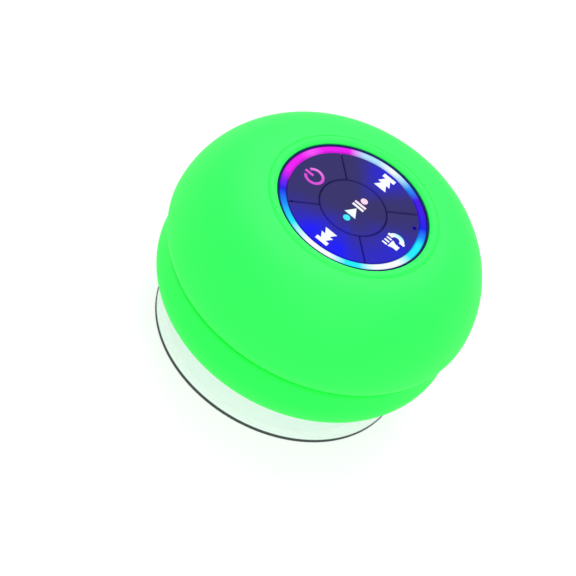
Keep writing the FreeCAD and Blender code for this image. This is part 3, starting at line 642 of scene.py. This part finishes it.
class SPEAKER_OT_cup(bpy.types.Operator):
    """The clear cup: one profile from the stem's top over the bell to the rim and back under it"""

    bl_idname = "speaker.cup"
    bl_label = "Suction cup"

    def execute(self, context):
        sizes, colours = settings()
        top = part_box("suction_cup")[1].z / MM
        stem, shoulder, foot, foot_z = 5.0, 7.4, 9.4, 7.5
        wall = sizes.cup_wall / MM
        lip = CUP_R - 4.0
        profile = joined(
            line((0.0, top), (stem - 0.7, top), 3),
            line((stem, top - 0.7), (stem, SHELL_BOTTOM), 12),
            line((stem, SHELL_BOTTOM), (shoulder, SHELL_BOTTOM), 3),
            line((shoulder, SHELL_BOTTOM), (foot, foot_z), 6),
            bowed((foot, foot_z), (20.0, 3.4), (CUP_R - 0.5, wall - 0.05)),
            arc((CUP_R - 0.45, 0.65), 0.45, 70, 0, 8),
            line((CUP_R, 0.6), (CUP_R - 0.15, 0.0), 3),
            line((CUP_R - 0.15, 0.0), (lip, 0.0), 6),
            bowed((lip, 0.0), (15.5, 5.6), (0.0, 5.8)),
        )
        profile = softened(profile, 0.4, closed=False)
        piece = mesh_piece("cup", [spun(profile, sizes.around)], [False])
        piece.data.materials.append(clear_plastic(colours).material)
        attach(piece, "suction_cup")
        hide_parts("suction_cup")
        return {"FINISHED"}


class SPEAKER_OT_keypad(bpy.types.Operator):
    """Finishes of the keys, their back-lit symbols, the light ring and the dark frame"""

    bl_idname = "speaker.keypad"
    bl_label = "Keypad"

    def execute(self, context):
        _, colours = settings()
        wear([key + "_key" for key in KEYS], key_finish(colours))
        wear(["light_ring"], ring_finish())
        # The black frame is given a faint dark-blue emission: a painted glow.
        frame_painted_glow = moulded("black_frame", (0.001, 0.002, 0.02), 0.1, 0.35, 0.002)
        frame_painted_glow.set(specular_ior_level=0.05, emission_color=(0.001, 0.008, 0.085), emission_strength=1.0)
        wear(["keypad_frame"], frame_painted_glow)
        rose = from_sheet(255, 214, 236)
        stops = [(0.0, CYAN), (0.16, CYAN), (0.3, WHITE), (0.6, WHITE), (0.8, rose)]
        wear(["play_pause_symbol"], symbol_finish("play_pause", stops, -5.4, 5.4))
        warm = from_sheet(216, 58, 216)
        stops = [(0.0, warm), (0.55, warm), (1.0, from_sheet(252, 150, 240))]
        wear(["power_symbol"], symbol_finish("power", stops, -1, 8, 0.25))
        wear(["next_symbol", "previous_symbol"], symbol_finish("skip", [(0.0, WHITE), (1.0, WHITE)], -20, 20))
        stops = [(0.0, WHITE), (0.72, WHITE), (1.0, CYAN)]
        wear(["call_light_symbol"], symbol_finish("call_light", stops, -3, 3))
        lit = moulded("status_pipe", (0.0, 0.0, 0.02), 0.1, 0.2, 0.001)
        lit.set(emission_color=(0.001, 0.001, 0.34), emission_strength=1.0, specular_ior_level=0.0)
        wear(["status_pipe"], lit)
        pads = [key + "_pad" for key in KEYS] + ["keypad_membrane", "body_gasket"]
        wear(pads, silicone("grey_silicone", (0.06, 0.06, 0.075), 0.3))
        return {"FINISHED"}


class SPEAKER_OT_shells(bpy.types.Operator):
    """Finishes of the moulded shells, the collar and the sound mesh"""

    bl_idname = "speaker.shells"
    bl_label = "Shells"

    def execute(self, context):
        sizes, colours = settings()
        band = silicone("green_shell", colours.silicone, sizes.skin_grain / MM, 0.3)
        wear(["lower_housing", "bottom_cover", "cup_collar"], band)
        wear(["upper_housing", "collar_retainer"], moulded("white_shell", (0.72, 0.74, 0.72), 0.3, 0.5))
        wear(["sound_mesh"], woven("mesh_cloth", (0.05, 0.05, 0.055)))
        return {"FINISHED"}


class SPEAKER_OT_electronics(bpy.types.Operator):
    """Finishes of the boards, chips, lamps, battery, socket, wires and screws"""

    bl_idname = "speaker.electronics"
    bl_label = "Electronics"

    def execute(self, context):
        wear(["main_board", "keypad_board", "charging_board"], circuit("circuit_board"))
        black = moulded("chip_black", (0.03, 0.03, 0.032), 0.08, 0.5)
        wear(["board_chips", "board_spacers", "board_link"], black)
        wear(["rgb_leds"], moulded("led_white", (0.85, 0.85, 0.78), 0.2, 0.25))
        cream = moulded("connector_cream", (0.74, 0.68, 0.50), 0.15, 0.4)
        wear(["wire_connectors", "driver_terminals"], cream)
        red = moulded("wire_red", (0.40, 0.02, 0.02), 0.4, 0.35)
        wear(["speaker_leads", "charging_leads", "battery_leads"], red)
        wear(["battery"], brushed("foil", (0.66, 0.67, 0.69), 0.35))
        steel = brushed("zinc_steel", (0.60, 0.61, 0.63))
        wear(["usb_socket", "microphone", "driver_top_plate", "driver_yoke"], steel)
        wear(["housing_screws", "cover_screws", "retainer_screws", "board_screws"], steel)
        wear(["battery_pad", "driver_gasket"], pulp("foam", (0.04, 0.04, 0.04)))
        return {"FINISHED"}


class SPEAKER_OT_driver(bpy.types.Operator):
    """Finishes of the driver's basket, magnet, cone, coil and suspension"""

    bl_idname = "speaker.driver"
    bl_label = "Driver"

    def execute(self, context):
        wear(["driver_frame"], moulded("black_steel", (0.03, 0.03, 0.032), 0.2, 0.4))
        wear(["driver_magnet"], brushed("magnet", (0.15, 0.15, 0.16), 0.5, 0.6))
        wear(["driver_cone", "dust_cap"], pulp("paper", (0.06, 0.06, 0.065)))
        wear(["voice_coil"], wound("copper", (0.80, 0.36, 0.18)))
        wear(["driver_surround"], silicone("black_rubber", (0.015, 0.015, 0.015), 0.3))
        wear(["driver_spider"], woven("spider_cloth", (0.60, 0.45, 0.20), 0.5))
        return {"FINISHED"}


# ---- floor, light and camera ----
def floor_finish(colours):
    """The plain pale floor, evenly lit from within so the lamps leave only a soft shade on it."""
    finish = Finish("floor", roughness=0.6, specular_ior_level=0.0, emission_strength=0.76)
    return finish.set(base_color=tuple(c * 0.3 for c in colours.floor), emission_color=(1.0, 1.0, 1.0))


VIEW_AZIMUTH, VIEW_ELEVATION, VIEW_ROLL = -77.3, 44.4, 29.95
LOOK_AT = Vector((-19.1, 0.1, 36.5)) * MM
VIEW_WIDTH, VIEW_DISTANCE, SENSOR = 0.1500, 4.0, 36.0
FLOOR_REACH, SKY_STRENGTH = 6.0, 0.80


def soft_light(name, place, size, power, tint=(1.0, 1.0, 1.0)):
    """A square lamp at a place in metres, facing the middle of the speaker."""
    data = bpy.data.lights.new(name, "AREA")
    data.size, data.energy, data.color = size, power, tint
    lamp = bpy.data.objects.new(name, data)
    lamp.location = place
    lamp.rotation_euler = (Vector((0, 0, 0.03)) - Vector(place)).to_track_quat("-Z", "Y").to_euler()
    bpy.context.scene.collection.objects.link(lamp)


class SPEAKER_OT_stage(bpy.types.Operator):
    """The plain pale floor, the soft light and the camera"""

    bl_idname = "speaker.stage"
    bl_label = "Stage"

    def execute(self, context):
        _, colours = settings()
        scene = bpy.context.scene
        scene.view_settings.view_transform = "Standard"
        world = bpy.data.worlds.new("studio")
        world.use_nodes = True
        sky = world.node_tree.nodes["Background"]
        sky.inputs["Color"].default_value = (1.0, 1.0, 1.0, 1.0)
        sky.inputs["Strength"].default_value = SKY_STRENGTH
        scene.world = world
        mesh = bpy.data.meshes.new("floor")
        corners = [(x * FLOOR_REACH, y * FLOOR_REACH, 0) for x, y in ((-1, -1), (1, -1), (1, 1), (-1, 1))]
        mesh.from_pydata(corners, [], [(0, 1, 2, 3)])
        floor = bpy.data.objects.new("floor", mesh)
        scene.collection.objects.link(floor)
        mesh.materials.append(floor_finish(colours).material)
        soft_light("key", (-2.7, -1.5, 3.9), 3.6, 80.0)
        soft_light("top", (2.0, 1.2, 4.0), 4.2, 150.0)
        azimuth, elevation = math.radians(VIEW_AZIMUTH), math.radians(VIEW_ELEVATION)
        flat = math.cos(elevation)
        back = Vector((math.sin(azimuth) * flat, -math.cos(azimuth) * flat, math.sin(elevation)))
        across = Vector((math.cos(azimuth), math.sin(azimuth), 0))
        turn = Matrix.Rotation(math.radians(VIEW_ROLL), 3, back)
        right = turn @ across
        up = back.cross(right)
        data = bpy.data.cameras.new("camera")
        data.sensor_width = SENSOR
        data.lens = SENSOR * VIEW_DISTANCE / VIEW_WIDTH
        data.clip_end = 20
        camera = bpy.data.objects.new("camera", data)
        camera.matrix_world = Matrix((right, up, back)).transposed().to_4x4()
        camera.location = LOOK_AT + back * VIEW_DISTANCE
        scene.collection.objects.link(camera)
        scene.camera = camera
        return {"FINISHED"}


PIECE_OPERATORS = (
    SPEAKER_OT_skin,
    SPEAKER_OT_port_cover,
    SPEAKER_OT_cup,
    SPEAKER_OT_keypad,
    SPEAKER_OT_shells,
    SPEAKER_OT_electronics,
    SPEAKER_OT_driver,
    SPEAKER_OT_stage,
)


class SPEAKER_PT_panel(bpy.types.Panel):
    """Lists the sizes, the colours and a button for each piece"""

    bl_idname = "SPEAKER_PT_panel"
    bl_label = "Shower speaker"
    bl_space_type = "VIEW_3D"
    bl_region_type = "UI"
    bl_category = "Speaker"

    def draw(self, context):
        for group in settings():
            box = self.layout.box()
            for name in group.__annotations__:
                box.prop(group, name)
        for operator in PIECE_OPERATORS:
            self.layout.operator(operator.bl_idname)


CLASSES = (SpeakerSizes, SpeakerColours, *PIECE_OPERATORS, SPEAKER_PT_panel)


def register():
    for item in CLASSES:
        bpy.utils.register_class(item)
    bpy.types.Scene.speaker_sizes = PointerProperty(type=SpeakerSizes)
    bpy.types.Scene.speaker_colours = PointerProperty(type=SpeakerColours)


def unregister():
    del bpy.types.Scene.speaker_colours
    del bpy.types.Scene.speaker_sizes
    for item in reversed(CLASSES):
        bpy.utils.unregister_class(item)


def main():
    register()
    for operator in PIECE_OPERATORS:
        group, name = operator.bl_idname.split(".")
        getattr(getattr(bpy.ops, group), name)()


if __name__ == "__main__":
    main()
